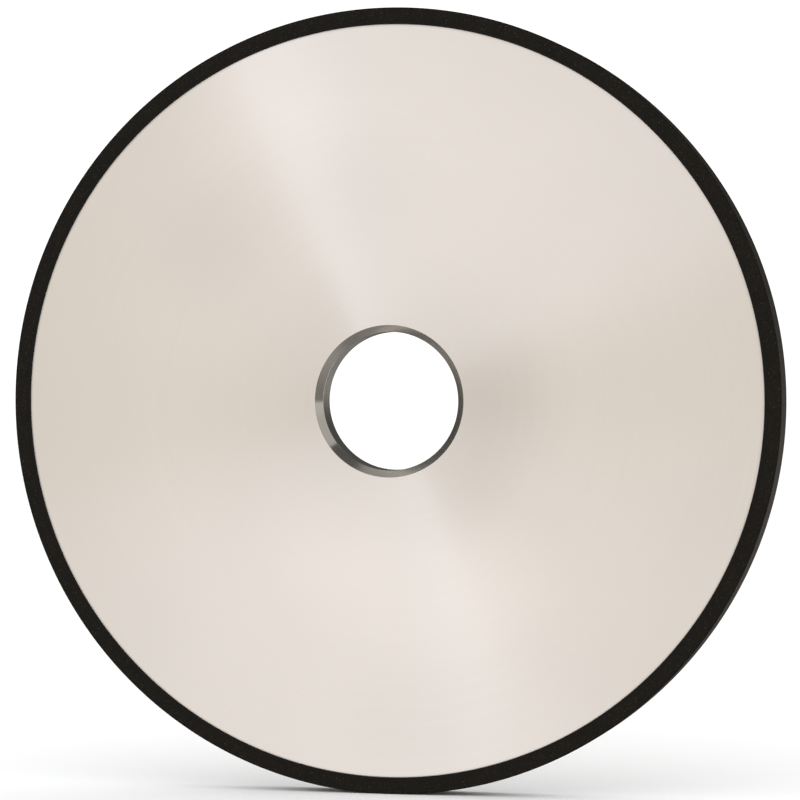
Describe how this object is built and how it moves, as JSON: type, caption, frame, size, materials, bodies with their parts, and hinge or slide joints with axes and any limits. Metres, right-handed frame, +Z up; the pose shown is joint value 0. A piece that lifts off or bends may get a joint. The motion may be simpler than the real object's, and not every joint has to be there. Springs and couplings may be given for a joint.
{
  "type": "diamond grinding wheel",
  "caption": "Flat round grinding wheel: a plain aluminium disc with a chamfered central bore and a thin black resin-bond diamond rim round its edge.",
  "frame": {"origin": "centre of the wheel: on the bore axis, halfway through the thickness", "axes": "+Y along the bore axis, from the front face to the back face; +Z up; +X to the right seen from the front"},
  "size_m": [0.18, 0.0094, 0.18],
  "materials": {
    "turned_aluminium": "fine circular turned finish, bright",
    "moulded_resin": "moulded and turned flush, dull",
    "diamond_resin": "gritty, dressed with a truing stone"
  },
  "bodies": {
    "root": {"aluminium_core": "turned_aluminium", "transition_layer": "moulded_resin", "diamond_rim": "diamond_resin"}
  },
  "joints": []
}
